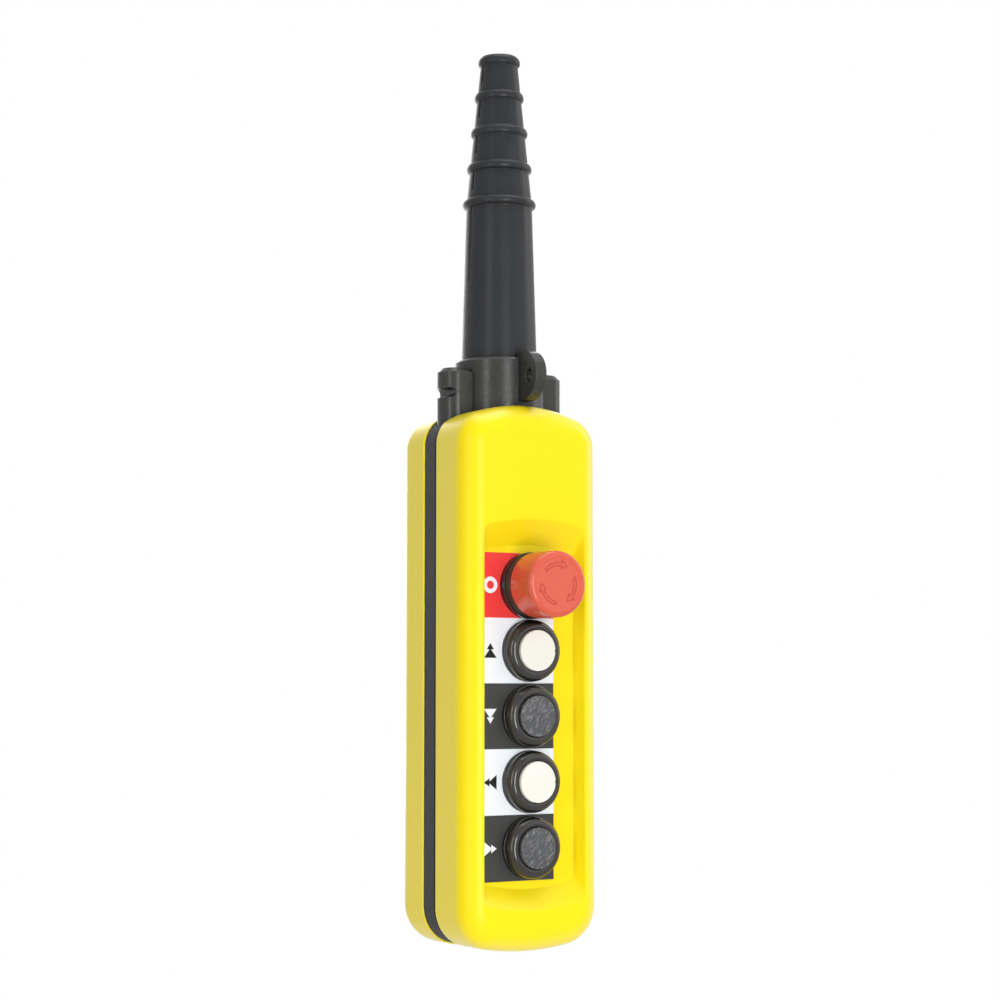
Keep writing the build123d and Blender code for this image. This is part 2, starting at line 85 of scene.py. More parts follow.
# %% Studio lamps
bpy.context.scene.view_settings.view_transform = "Standard"
MIDDLE = Vector((0.0, 0.0, -0.28))


def soft_lamp(name, place, width, height, power):
    """A rectangular lamp that faces the middle of the station."""
    data = bpy.data.lights.new(name, "AREA")
    data.shape = "RECTANGLE"
    data.size = width
    data.size_y = height
    data.energy = power
    lamp = bpy.data.objects.new(name, data)
    lamp.location = place
    lamp.rotation_euler = (MIDDLE - Vector(place)).to_track_quat("-Z", "Y").to_euler()
    bpy.context.scene.collection.objects.link(lamp)


soft_lamp("front_box", (-0.25, -1.37, -0.42), 0.35, 0.9, 12.0)
soft_lamp("right_fill", (0.75, -1.15, 0.15), 0.7, 1.2, 1.9)
soft_lamp("strip_left", (-1.05, -0.5, -0.15), 0.1, 0.9, 3.1)
soft_lamp("top_soft", (0.1, -0.2, 1.0), 1.0, 1.0, 10.0)
soft_lamp("rim_right", (1.0, -0.25, 0.05), 0.3, 1.0, 2.0)
soft_lamp("back_fill", (0.5, 1.3, 0.1), 1.2, 1.2, 9.0)

# %% [markdown]
# A helper for node trees. The world and every material do small sums on their masks.
# Each sum could be wired by hand, but one call for each reads like the sum itself.

# %% Helper: a math node


def calculate(tree, operation, *values):
    """A math node with sockets or plain numbers as its inputs; gives its result."""
    node = tree.nodes.new("ShaderNodeMath")
    node.operation = operation
    for index, value in enumerate(values):
        if isinstance(value, (int, float)):
            node.inputs[index].default_value = value
        else:
            tree.links.new(value, node.inputs[index])
    return node.outputs[0]


print("ready:", calculate.__name__)

# %% [markdown]
# The world adds a pale even light, as the walls of a room do. Rays that come straight
# from the camera, or by way of a mirror or glass, see white instead. So the picture's
# ground is white without more light on the object.

# %% World
ROOM_COLOUR, ROOM_LIGHT = (0.93, 0.96, 1.0), 0.25
GROUND_COLOUR, GROUND_LIGHT = (1.0, 1.0, 1.0), 1.0

world = bpy.data.worlds.new("pale_room")
world.use_nodes = True
bpy.context.scene.world = world
tree = world.node_tree
tree.nodes.clear()
rays = tree.nodes.new("ShaderNodeLightPath")
seen = rays.outputs["Is Camera Ray"]
for kind in ("Is Glossy Ray", "Is Transmission Ray"):
    seen = calculate(tree, "MAXIMUM", seen, rays.outputs[kind])
choice = tree.nodes.new("ShaderNodeMixShader")
tree.links.new(seen, choice.inputs["Fac"])
grounds = ((ROOM_COLOUR, ROOM_LIGHT), (GROUND_COLOUR, GROUND_LIGHT))
for index, (colour, strength) in enumerate(grounds):
    background = tree.nodes.new("ShaderNodeBackground")
    background.inputs["Color"].default_value = (*colour, 1.0)
    background.inputs["Strength"].default_value = strength
    tree.links.new(background.outputs[0], choice.inputs[index + 1])
out = tree.nodes.new("ShaderNodeOutputWorld")
tree.links.new(choice.outputs[0], out.inputs["Surface"])
print("room light", ROOM_LIGHT)

# %% [markdown]
# The materials start with shared groups. Plastic, rubber and metal each need their own
# grain and wear, but from the same few ideas. An idea is built once as a group with
# named sockets, and every finish places it with its own values.

# %% Helpers: groups, noise and masks
FLOAT, VECTOR = "NodeSocketFloat", "NodeSocketVector"
STREAK_LEAN = (0.0, radians(40), 0.0)
STREAK_STRETCH = (1.0, 2.5, 3.5)


def new_group(name, inputs, outputs):
    """An empty shader group with named sockets; gives it with its two end nodes."""
    group = bpy.data.node_groups.new(name, "ShaderNodeTree")
    for label, value in inputs:
        socket = group.interface.new_socket(label, in_out="INPUT", socket_type=FLOAT)
        socket.default_value = value
    for label, kind in outputs:
        group.interface.new_socket(label, in_out="OUTPUT", socket_type=kind)
    return group, group.nodes.new("NodeGroupInput"), group.nodes.new("NodeGroupOutput")


def noise(tree, scale, detail, streaks=False):
    """Noise over the object's own space, so that it stays put on every piece."""
    place = tree.nodes.new("ShaderNodeTexCoord").outputs["Object"]
    if streaks:
        mapping = tree.nodes.new("ShaderNodeMapping")
        mapping.vector_type = "TEXTURE"
        mapping.inputs["Rotation"].default_value = STREAK_LEAN
        mapping.inputs["Scale"].default_value = STREAK_STRETCH
        tree.links.new(place, mapping.inputs["Vector"])
        place = mapping.outputs["Vector"]
    node = tree.nodes.new("ShaderNodeTexNoise")
    node.inputs["Detail"].default_value = detail
    tree.links.new(place, node.inputs["Vector"])
    tree.links.new(scale, node.inputs["Scale"])
    return node.outputs["Fac"]


def as_mask(tree, value, gain):
    """Scales a value and keeps it between 0 and 1."""
    clamp = tree.nodes.new("ShaderNodeClamp")
    tree.links.new(calculate(tree, "MULTIPLY", value, gain), clamp.inputs["Value"])
    return clamp.outputs[0]


print("ready:", new_group.__name__, noise.__name__, as_mask.__name__)

# %% [markdown]
# Moulded grain is the fine skin that a spark-eroded mould leaves on plastic and rubber.
# One noise alone looks like sand, so a fine and a coarse one add up to a height for a
# bump node. The same height, taken about its middle, also varies the roughness.

# %% Group: moulded grain
GRAIN_DETAIL = 2.0
NOISE_MIDDLE = 0.5

grain_group, ends_in, ends_out = new_group(
    "moulded_grain",
    [("Fine Scale", 2500.0), ("Coarse Scale", 140.0), ("Coarse Share", 0.3)],
    [("Height", FLOAT), ("Spread", FLOAT)],
)
fine = noise(grain_group, ends_in.outputs["Fine Scale"], GRAIN_DETAIL)
coarse = noise(grain_group, ends_in.outputs["Coarse Scale"], GRAIN_DETAIL)
share = ends_in.outputs["Coarse Share"]
rest = calculate(grain_group, "SUBTRACT", 1.0, share)
height = calculate(
    grain_group, "ADD", calculate(grain_group, "MULTIPLY", fine, rest),
    calculate(grain_group, "MULTIPLY", coarse, share),
)
grain_group.links.new(height, ends_out.inputs["Height"])
spread = calculate(grain_group, "SUBTRACT", height, NOISE_MIDDLE)
grain_group.links.new(spread, ends_out.inputs["Spread"])
print("group", grain_group.name)

# %% [markdown]
# Handling marks are slow clouds where hands and oil have changed the gloss, with a few
# fine scratches. A scratch is made by stretching a noise so that its spots turn into
# streaks, and keeping only its peaks. The group gives a mask of each.

# %% Group: handling marks
CLOUD_DETAIL, SCRATCH_DETAIL = 3.0, 2.0
SCRATCH_STEEPNESS = 9.0

marks_group, ends_in, ends_out = new_group(
    "handling_marks",
    [("Cloud Scale", 22.0), ("Scratch Scale", 260.0), ("Scratch Cut", 0.62)],
    [("Clouds", FLOAT), ("Scratches", FLOAT)],
)
clouds = noise(marks_group, ends_in.outputs["Cloud Scale"], CLOUD_DETAIL)
marks_group.links.new(clouds, ends_out.inputs["Clouds"])
streaks = noise(marks_group, ends_in.outputs["Scratch Scale"], SCRATCH_DETAIL, streaks=True)
peaks = calculate(marks_group, "SUBTRACT", streaks, ends_in.outputs["Scratch Cut"])
scratches = as_mask(marks_group, peaks, SCRATCH_STEEPNESS)
marks_group.links.new(scratches, ends_out.inputs["Scratches"])
print("group", marks_group.name)

# %% [markdown]
# Edge wear. Real mouldings have no knife edges. Rounding every edge of the solids would
# cost many faces, so a Bevel node rounds only the normal, over a small radius. Where
# that rounded normal differs from the true one there is an edge. The group gives the
# soft normal, and a mask of the edges to lighten.

# %% Group: worn edges
BEVEL_SAMPLES = 6
EDGE_STEEPNESS = 6.0

edge_group, ends_in, ends_out = new_group(
    "worn_edges", [("Radius", 0.0004)], [("Normal", VECTOR), ("Edge", FLOAT)]
)
bevel = edge_group.nodes.new("ShaderNodeBevel")
bevel.samples = BEVEL_SAMPLES
edge_group.links.new(ends_in.outputs["Radius"], bevel.inputs["Radius"])
geometry = edge_group.nodes.new("ShaderNodeNewGeometry")
agree = edge_group.nodes.new("ShaderNodeVectorMath")
agree.operation = "DOT_PRODUCT"
edge_group.links.new(bevel.outputs["Normal"], agree.inputs[0])
edge_group.links.new(geometry.outputs["Normal"], agree.inputs[1])
differ = calculate(edge_group, "SUBTRACT", 1.0, agree.outputs["Value"])
edges = as_mask(edge_group, differ, EDGE_STEEPNESS)
edge_group.links.new(bevel.outputs["Normal"], ends_out.inputs["Normal"])
edge_group.links.new(edges, ends_out.inputs["Edge"])
print("group", edge_group.name)

# %% [markdown]
# Painted shade. Closed corners, such as the slot in the collar, are darkened in the colour
# itself, as the shade that falls there. It could be painted by hand, but ambient occlusion
# already measures how closed in a point is, and a gain turns that into a mask.

# %% Group: painted shade in corners
CORNER_SHADE_SAMPLES = 8

corner_shade_group, ends_in, ends_out = new_group(
    "painted_corner_shade", [("Reach", 0.006), ("Gain", 1.6)], [("Closed In", FLOAT)]
)
openness = corner_shade_group.nodes.new("ShaderNodeAmbientOcclusion")
openness.samples = CORNER_SHADE_SAMPLES
corner_shade_group.links.new(ends_in.outputs["Reach"], openness.inputs["Distance"])
closed = calculate(corner_shade_group, "SUBTRACT", 1.0, openness.outputs["AO"])
closed_in = as_mask(corner_shade_group, closed, ends_in.outputs["Gain"])
corner_shade_group.links.new(closed_in, ends_out.inputs["Closed In"])
print("group", corner_shade_group.name)

# %% [markdown]
# One recipe makes every finish, because a plain colour looks like a toy. The colour
# drifts a little with the clouds, pales on edges and scratches, and has painted shade in
# closed corners. Roughness follows the clouds and the grain. These helpers make both.

# %% Helpers: colour and gloss of a finish
EDGE_SHARE = 0.5
MIX_FIRST, MIX_SECOND, MIX_RESULT = 6, 7, 2


def mix_colour(tree, factor, first, second):
    """Mixes two colours, each a socket or a plain triple, by a factor socket."""
    node = tree.nodes.new("ShaderNodeMix")
    node.data_type = "RGBA"
    tree.links.new(factor, node.inputs["Factor"])
    for index, value in ((MIX_FIRST, first), (MIX_SECOND, second)):
        if isinstance(value, tuple):
            node.inputs[index].default_value = (*value, 1.0)
        else:
            tree.links.new(value, node.inputs[index])
    return node.outputs[MIX_RESULT]


def place_group(tree, group, **values):
    """Places a shared group in a material, with its own values for the named inputs."""
    node = tree.nodes.new("ShaderNodeGroup")
    node.node_tree = group
    for label, value in values.items():
        node.inputs[label.replace("_", " ")].default_value = value
    return node


def worn_and_shaded_colour(tree, touch, rim, colour, worn, drift, scratch_gain, painted_shade):
    """A colour with clouds, worn edges, scratches and, where given, a painted shade in closed
    corners.
    """
    low = tuple(max(0.0, c * (1.0 - drift)) for c in colour)
    high = tuple(min(1.0, c * (1.0 + drift)) for c in colour)
    tone = mix_colour(tree, touch.outputs["Clouds"], low, high)
    for mask, gain in ((rim.outputs["Edge"], EDGE_SHARE),
                       (touch.outputs["Scratches"], scratch_gain)):
        tone = mix_colour(tree, calculate(tree, "MULTIPLY", mask, gain), tone, worn)
    # Closed corners get a painted shade: the colour darkens where ambient occlusion finds them
    # closed in.
    if painted_shade:
        corners = place_group(tree, corner_shade_group)
        tone = mix_colour(tree, corners.outputs["Closed In"], tone, painted_shade)
    return tone


def uneven_gloss(tree, touch, skin, roughness, rough_spread):
    """A roughness that varies with the clouds and, half as much, with the grain."""
    cloudy = calculate(tree, "SUBTRACT", touch.outputs["Clouds"], NOISE_MIDDLE)
    uneven = calculate(
        tree, "ADD", calculate(tree, "MULTIPLY", cloudy, rough_spread * 2),
        calculate(tree, "MULTIPLY", skin.outputs["Spread"], rough_spread),
    )
    return calculate(tree, "ADD", uneven, roughness)


print("ready:", worn_and_shaded_colour.__name__, uneven_gloss.__name__)

# %% [markdown]
# The finish itself. The grain is a bump over the softened normal, and the yellow casing
# also has a sheen: a coat that shows only where the surface turns away, as its polished
# mould gives it. After this cell, a finish is one call with plain numbers: its colour,
# its roughness and the colour it wears to, then whatever differs from the defaults.

# %% Helper: a finish
SHEEN_START, SHEEN_FULL, SHEEN_ROUGHNESS = 0.15, 0.5, 0.35
finishes = {}


def glancing_sheen(tree, shader, strength):
    """A coat whose weight grows as the surface turns away."""
    facing = tree.nodes.new("ShaderNodeLayerWeight")
    sheen = tree.nodes.new("ShaderNodeMapRange")
    sheen.interpolation_type = "SMOOTHSTEP"
    sheen.inputs["From Min"].default_value = SHEEN_START
    sheen.inputs["From Max"].default_value = SHEEN_FULL
    sheen.inputs["To Max"].default_value = strength
    tree.links.new(facing.outputs["Facing"], sheen.inputs["Value"])
    tree.links.new(sheen.outputs[0], shader.inputs["Coat Weight"])
    shader.inputs["Coat Roughness"].default_value = SHEEN_ROUGHNESS


def finish(name, colour, roughness, worn, drift=0.06, grain=(2500.0, 140.0, 0.3),
           depth=0.02, marks=(22.0, 260.0, 0.62), rough_spread=0.12, edge=0.0004,
           metallic=0.0, specular=0.5, scratch_gain=0.12, glancing=0.0, painted_shade=None):
    """A material made of the shared groups around one Principled shader."""
    material = bpy.data.materials.new(name)
    material.use_nodes = True
    tree = material.node_tree
    shader = tree.nodes["Principled BSDF"]
    fine, coarse, share = grain
    skin = place_group(
        tree, grain_group, Fine_Scale=fine, Coarse_Scale=coarse, Coarse_Share=share
    )
    clouds, scratches, cut = marks
    touch = place_group(
        tree, marks_group, Cloud_Scale=clouds, Scratch_Scale=scratches, Scratch_Cut=cut
    )
    rim = place_group(tree, edge_group, Radius=edge)
    tone = worn_and_shaded_colour(tree, touch, rim, colour, worn, drift, scratch_gain, painted_shade)
    tree.links.new(tone, shader.inputs["Base Color"])
    gloss = uneven_gloss(tree, touch, skin, roughness, rough_spread)
    tree.links.new(gloss, shader.inputs["Roughness"])
    bump = tree.nodes.new("ShaderNodeBump")
    bump.inputs["Strength"].default_value = 1.0
    bump.inputs["Distance"].default_value = depth * MM
    tree.links.new(skin.outputs["Height"], bump.inputs["Height"])
    tree.links.new(rim.outputs["Normal"], bump.inputs["Normal"])
    tree.links.new(bump.outputs["Normal"], shader.inputs["Normal"])
    shader.inputs["Metallic"].default_value = metallic
    shader.inputs["Specular IOR Level"].default_value = specular
    if glancing:
        glancing_sheen(tree, shader, glancing)
    finishes[name] = material


print("ready:", finish.__name__)

# %% [markdown]
# The body of the station: a satin yellow casing, the matt band between its covers, the
# soft black boot, and the collar, a coarse glass-filled plastic with long scratches.
# Black rubber is never pure black, so each black here has its own tint and gloss.

# %% Finishes: casing, band, boot and collar
finish(
    "casing_yellow", (0.94, 0.745, 0.006), 0.36, (0.98, 0.84, 0.06), drift=0.02,
    grain=(1800.0, 90.0, 0.5), depth=0.010, marks=(14.0, 300.0, 0.66), rough_spread=0.06,
    edge=0.0010, scratch_gain=0.05, specular=0.2, glancing=0.9,
)
finish("gasket_rubber", (0.045, 0.046, 0.050), 0.62, (0.10, 0.10, 0.11), specular=0.3)
# The boot, the gaiter and the collar darken in their closed corners with a painted shade.
finish(
    "boot_rubber", (0.025, 0.026, 0.028), 0.36, (0.06, 0.06, 0.06), drift=0.15,
    grain=(1500.0, 120.0, 0.4), depth=0.025, marks=(40.0, 200.0, 0.63), rough_spread=0.10,
    specular=0.18, painted_shade=(0.004, 0.004, 0.004),
)
finish(
    "gaiter_rubber", (0.040, 0.034, 0.028), 0.55, (0.08, 0.07, 0.06), specular=0.3,
    painted_shade=(0.006, 0.005, 0.004),
)
finish(
    "collar_black", (0.030, 0.030, 0.028), 0.28, (0.16, 0.16, 0.15), drift=0.12,
    grain=(1300.0, 200.0, 0.5), depth=0.07, marks=(60.0, 900.0, 0.60), rough_spread=0.16,
    edge=0.0006, specular=0.3, painted_shade=(0.003, 0.003, 0.003),
)
print("finishes", len(finishes))

# %% [markdown]
# The heads. Their rings are glossy black and the white caps are a warm satin. The black
# caps carry a coarse grain like torn bark, so their bump is deep and nearly all of it
# coarse. The knob is a slightly faded red, and the arrows on it are darker.

# %% Finishes: heads
# The rings darken in their closed corners with a painted shade.
finish(
    "operator_black", (0.026, 0.024, 0.021), 0.13, (0.08, 0.08, 0.08), drift=0.08,
    depth=0.006, rough_spread=0.06, edge=0.0003, specular=0.45, painted_shade=(0.004, 0.003, 0.002),
)
finish(
    "cap_white", (0.79, 0.78, 0.70), 0.38, (0.90, 0.88, 0.82), drift=0.015, depth=0.004,
    rough_spread=0.05, edge=0.0003, specular=0.3,
)
# The pale ring along the edge of these caps is partly wear and partly a painted highlight.
finish(
    "cap_black", (0.055, 0.057, 0.061), 0.38, (0.24, 0.24, 0.24), drift=0.5,
    grain=(1500.0, 800.0, 0.85), depth=0.45, marks=(850.0, 1100.0, 0.52),
    rough_spread=0.16, scratch_gain=0.5,
)
finish(
    "knob_red", (0.665, 0.096, 0.052), 0.22, (0.80, 0.24, 0.18), drift=0.04, depth=0.006,
    rough_spread=0.05, edge=0.0005, specular=0.4,
)
finish(
    "arrow_red", (0.48, 0.045, 0.026), 0.40, (0.56, 0.09, 0.07), drift=0.04, depth=0.004,
    rough_spread=0.05, edge=0.0001, specular=0.3,
)
print("finishes", len(finishes))

# %% [markdown]
# The legend plates are thin printed sheets, so they are smooth and even, with almost no
# grain and a very small edge. The ink of their black marks shines less than the plates.

# %% Finishes: legend plates
PRINTED = {"depth": 0.004, "rough_spread": 0.06, "edge": 0.0001, "specular": 0.3}
finish("legend_red", (0.86, 0.045, 0.045), 0.42, (0.90, 0.20, 0.18), drift=0.03, **PRINTED)
finish("legend_white", (0.87, 0.90, 0.95), 0.42, (0.88, 0.88, 0.90), drift=0.02, **PRINTED)
finish("legend_black", (0.038, 0.039, 0.037), 0.45, (0.10, 0.10, 0.10), **PRINTED)
INK = {**PRINTED, "specular": 0.15}
finish("mark_black", (0.014, 0.014, 0.014), 0.45, (0.05, 0.05, 0.05), **INK)
print("finishes", len(finishes))

# %% [markdown]
# The pieces inside are hidden in the picture but still belong to the part: nylon stems,
# grey contact blocks, brass strips and steel springs and screws. Metal keeps a plain
# Metallic of 1, and its colour is the colour of its highlights.

# %% Finishes: inside
finish("stem_nylon", (0.72, 0.72, 0.66), 0.45, (0.80, 0.80, 0.76))
finish("block_grey", (0.10, 0.105, 0.115), 0.50, (0.22, 0.22, 0.23))
finish("brass", (0.62, 0.42, 0.14), 0.28, (0.80, 0.62, 0.30), metallic=1.0, depth=0.004)
finish("steel", (0.52, 0.53, 0.54), 0.32, (0.75, 0.75, 0.76), metallic=1.0, depth=0.004)
print("finishes", len(finishes))

# %% [markdown]
# Every solid names a material slot in the record, and the slots have the names of the
# finishes. So the whole frame is dressed by looking up each solid's slot.

# %% Put the finishes on the solids
slot_of = {row["node"]: row["material_slot"] for row in frame["record"]["subparts"]}
for name, node in nodes.items():
    node.data.materials.clear()
    node.data.materials.append(finishes[slot_of[name]])
print("dressed", len(slot_of))

# %% [markdown]
# From here on, pieces whose plain solid is too simple get a finer mesh. Most of them
# are turned parts: an outline of radius and height, swept round an axis. The outline
# is written as a few corners, each with its own rounding, because a moulded part has
# no sharp corner anywhere. A modifier could bevel the finished mesh, but it rounds all
# edges alike, and here each corner keeps the radius that its mould has.

# %% Helpers: rounded outlines
CORNER_STEPS, BULGE_STEPS = 5, 12


def rounded(corners, steps=CORNER_STEPS):
    """An outline through corners given as (radius, height, rounding), in millimetres."""
    outline = []
    for index, (radius, height, rounding) in enumerate(corners):
        here = Vector((radius, height))
        if not rounding:
            outline.append(here)
            continue
        before = (Vector(corners[index - 1][:2]) - here).normalized()
        after = (Vector(corners[(index + 1) % len(corners)][:2]) - here).normalized()
        half = before.angle(after) / 2
        centre = here + (before + after).normalized() * (rounding / sin(half))
        first = here + before * (rounding / tan(half)) - centre
        last = here + after * (rounding / tan(half)) - centre
        outline += [
            centre + first.slerp(last, step / steps) * rounding for step in range(steps + 1)
        ]
    return outline


def bulge(start, end):
    """A quarter of an ellipse that leaves start upwards and reaches end inwards."""
    wide, tall = start[0] - end[0], end[1] - start[1]
    turns = [pi / 2 * step / BULGE_STEPS for step in range(BULGE_STEPS + 1)]
    return [(end[0] + wide * cos(turn), start[1] + tall * sin(turn), 0) for turn in turns]


print("ready:", rounded.__name__, bulge.__name__)

# %% [markdown]
# The sweep turns an outline into a mesh. A Screw modifier could do it too, but a sweep
# in code can also press a shape in as it goes round, such as the boot's channels. It
# asks a place function for each point, which says where the axis stands and points.

# %% Helpers: sweep an outline, add a piece
ON_AXIS = 1e-6
SMOOTH_BELOW = 35.0


def sweep(outline, place, angles, closed=True):
    """Sweeps an outline round an axis; place gives a point from radius, turn, height."""
    build = bmesh.new()
    rings = []
    for radius, height in outline:
        if radius < ON_AXIS:
            rings.append([build.verts.new(place(0.0, 0.0, height))])
        else:
            rings.append([build.verts.new(place(radius, turn, height)) for turn in angles])
    pairs = list(zip(rings, rings[1:]))
    if closed:
        pairs.append((rings[-1], rings[0]))
    count = len(angles)
    for low, high in pairs:
        if len(low) == 1 and len(high) == 1:
            continue
        for index in range(count):
            after = (index + 1) % count
            corners = [low[index % len(low)], low[after % len(low)],
                       high[after % len(high)], high[index % len(high)]]
            build.faces.new(list(dict.fromkeys(corners)))
    return build


def even_turns(count):
    """Angles for a sweep, evenly spaced over the whole turn."""
    return [2 * pi * index / count for index in range(count)]


def add_piece(name, build, body, slot, sharp=SMOOTH_BELOW, paint=None):
    """Turns a bmesh into a smooth-shaded piece that rides on a body."""
    bmesh.ops.recalc_face_normals(build, faces=build.faces)
    mesh = bpy.data.meshes.new(name)
    build.to_mesh(mesh)
    build.free()
    mesh.shade_smooth()
    mesh.set_sharp_from_angle(angle=radians(sharp))
    piece = bpy.data.objects.new(name, mesh)
    bpy.context.scene.collection.objects.link(piece)
    mesh.materials.append(finishes[paint or slot])
    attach(piece, body)
    return piece


print("ready:", sweep.__name__, add_piece.__name__)

# %% [markdown]
# The cable boot is soft black rubber, moulded in steps so that it can be cut to the
# cable's size. Each step ends in a bead. The boot could be a stack of cones and rings,
# but rubber has no seams, so one outline runs over it all: a plain sleeve that widens
# downwards, and on it half ellipses for the beads, each with a small fillet beside it.

# %% Cable boot: outline
BEAD_PITCH, BEAD_FIRST, BEAD_HALF = 18.85, -2.7, 2.3
BEAD_RISES = (1.4, 1.4, 1.5, 1.7, 2.0)
BEADS = len(BEAD_RISES)
FILLET_RISE, FILLET_REACH = 0.1, 1.3
MOUTH, SHOULDER, FOOT = 9.2, 17.0, 19.4
SHOULDER_HEIGHT = BEAD_FIRST - (BEADS - 1) * BEAD_PITCH
COLLAR_TOP, COLLAR_FOOT = -160.4, -201.5
BORE, BORE_END, WALL = 6.8, -14.0, 2.6
BOOT_FLANGE, BOOT_FLANGE_TOP = 22.0, -199.1
FINE_STEP, PLAIN_STEP, FINE_REACH = 0.19, 0.9, 1.35


def from_bead(height, index):
    """How far a height is above the middle of a bead, in millimetres."""
    return height - BEAD_FIRST + index * BEAD_PITCH


def sleeve(height):
    """The plain radius of the boot at a height, without its beads."""
    if height > SHOULDER_HEIGHT:
        return MOUTH + (SHOULDER - MOUTH) * height / SHOULDER_HEIGHT
    share = (height - SHOULDER_HEIGHT) / (COLLAR_TOP - SHOULDER_HEIGHT)
    return SHOULDER + (FOOT - SHOULDER) * min(share, 1.0)


def beaded(height):
    """The radius of the boot at a height, with its beads and their fillets."""
    radius = sleeve(height)
    for index, rise in enumerate(BEAD_RISES):
        offset = abs(from_bead(height, index)) / BEAD_HALF
        if offset < 1.0:
            radius += rise * (1.0 - offset * offset) ** 0.5
        elif offset < FILLET_REACH:
            radius += FILLET_RISE * ((FILLET_REACH - offset) / (FILLET_REACH - 1.0)) ** 2
    return radius


def boot_outline():
    """The boot's section: down the outside, in short steps near beads, and up inside."""
    outline = [(BORE, 0.0)]
    height = 0.0
    while height > COLLAR_TOP:
        outline.append((beaded(height), height))
        near = min(abs(from_bead(height, index)) for index in range(BEADS))
        height -= FINE_STEP if near < BEAD_HALF * FINE_REACH else PLAIN_STEP
    inner = FOOT - WALL
    return outline + [
        (FOOT, COLLAR_TOP), (FOOT, BOOT_FLANGE_TOP), (BOOT_FLANGE, BOOT_FLANGE_TOP),
        (BOOT_FLANGE, COLLAR_FOOT), (inner, COLLAR_FOOT), (inner, COLLAR_TOP),
        (SHOULDER - WALL, SHOULDER_HEIGHT), (BORE, BORE_END),
    ]


print("boot outline points", len(boot_outline()))

# %% [markdown]
# A shallow channel runs down both sides of every step, where the real mould parts. It
# could be cut with a boolean, which leaves ragged faces on a curved skin. Here the
# sweep pulls its points inwards near both sides, and has more turns there to do it.

# %% Cable boot: channels and mesh
CHANNEL_HALF, CHANNEL_DEPTH, CHANNEL_INSET = 0.9, 0.75, 0.2
CHANNEL_REACH, CHANNEL_WALL, WALL_SOFTNESS = CHANNEL_HALF * 1.5, CHANNEL_HALF * 0.75, 0.12
STEP_RUN, LAST_RUN = 10.5, 40.0
EASE_IN, EASE_OUT = 0.8, 1.2
SKIN = 0.5
CHANNEL_ARC, FINE_TURN, COARSE_TURN = 9.0, 0.75, 4.5


def channel(turn, height):
    """How deep the side channels are at a place, in millimetres."""
    across = min(abs(sleeve(height) * (turn - side)) for side in (0.0, pi, 2 * pi))
    if across > CHANNEL_REACH:
        return 0.0
    depth = 0.0
    for index in range(BEADS):
        start = BEAD_FIRST - index * BEAD_PITCH - BEAD_HALF + CHANNEL_INSET
        length = STEP_RUN if index < BEADS - 1 else LAST_RUN
        below = start - height
        if 0.0 < below < length:
            depth = min(1.0, below / EASE_IN, (length - below) / EASE_OUT)
    shape = 1.0 / (1.0 + exp((across - CHANNEL_WALL) / WALL_SOFTNESS))
    return CHANNEL_DEPTH * depth * shape


def on_boot(radius, turn, height):
    """The place function of the boot: its axis stands upright, with the channels in it."""
    if radius > sleeve(height) - SKIN and height > COLLAR_TOP:
        radius -= channel(turn, height)
    return (radius * cos(turn) * MM, radius * sin(turn) * MM, height * MM)


fine_count = round(2 * CHANNEL_ARC / FINE_TURN) + 1
coarse_count = round((180 - 2 * CHANNEL_ARC) / COARSE_TURN)
boot_turns = []
for side in (0.0, pi):
    boot_turns += [side + radians(step * FINE_TURN - CHANNEL_ARC) for step in range(fine_count)]
    boot_turns += [
        side + radians(CHANNEL_ARC + step * COARSE_TURN) for step in range(1, coarse_count)
    ]
boot_turns = sorted(turn % (2 * pi) for turn in boot_turns)
boot_mesh = sweep(boot_outline(), on_boot, boot_turns)
boot = add_piece("boot_sleeve", boot_mesh, "housing", "boot_rubber")
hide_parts("cable_boot")
print("boot faces", len(boot.data.polygons))

# %% [markdown]
# The five heads stand one above another on the front, at an even pitch. Each is turned
# round an axis that points at the user. Their heights are measured from the face of
# the legend plates, so one outline fits every head.

# %% Where the heads are
LABEL_FACE = 27.4
STOP_HEIGHT, HEAD_PITCH = -276.8, 32.5
HEAD_ORDER = ("stop", "up", "down", "left", "right")
HEADS = {name: STOP_HEIGHT - HEAD_PITCH * index for index, name in enumerate(HEAD_ORDER)}


def on_head(head):
    """The place function of a head: its axis points at the user from the legend's face."""
    centre = HEADS[head]

    def place(radius, turn, height):
        return (
            radius * cos(turn) * MM, -(LABEL_FACE + height) * MM,
            (centre + radius * sin(turn)) * MM,
        )

    return place


print("heads at", sorted(HEADS.values()))

# %% [markdown]
# Each pushbutton is a cap that slides in a fat ring. The ring is one rounded bulge on
# a thin flange, with a groove between them, and inside it are the bore for the cap and
# the narrower ones for the spring and the stem. The solid model has the same steps, and
# this outline adds the points that make the bulge round.

# %% Bezel ring: outline
RING_OUT, BULGE_FOOT = 15.3, 4.3
CREST, CREST_HEIGHT, LIP = 11.9, 8.2, 8.0
CAP_BORE, CAP_FLOOR = 10.5, 0.8
SPRING_BORE, SPRING_FLOOR = 8.8, -5.4
STEM_BORE, NECK, NECK_END = 5.05, 10.9, -13.4
FLANGE, FLANGE_TOP = 15.5, 1.9
GROOVE, GROOVE_TOP = 14.8, 2.4
RING_TURNS = 128

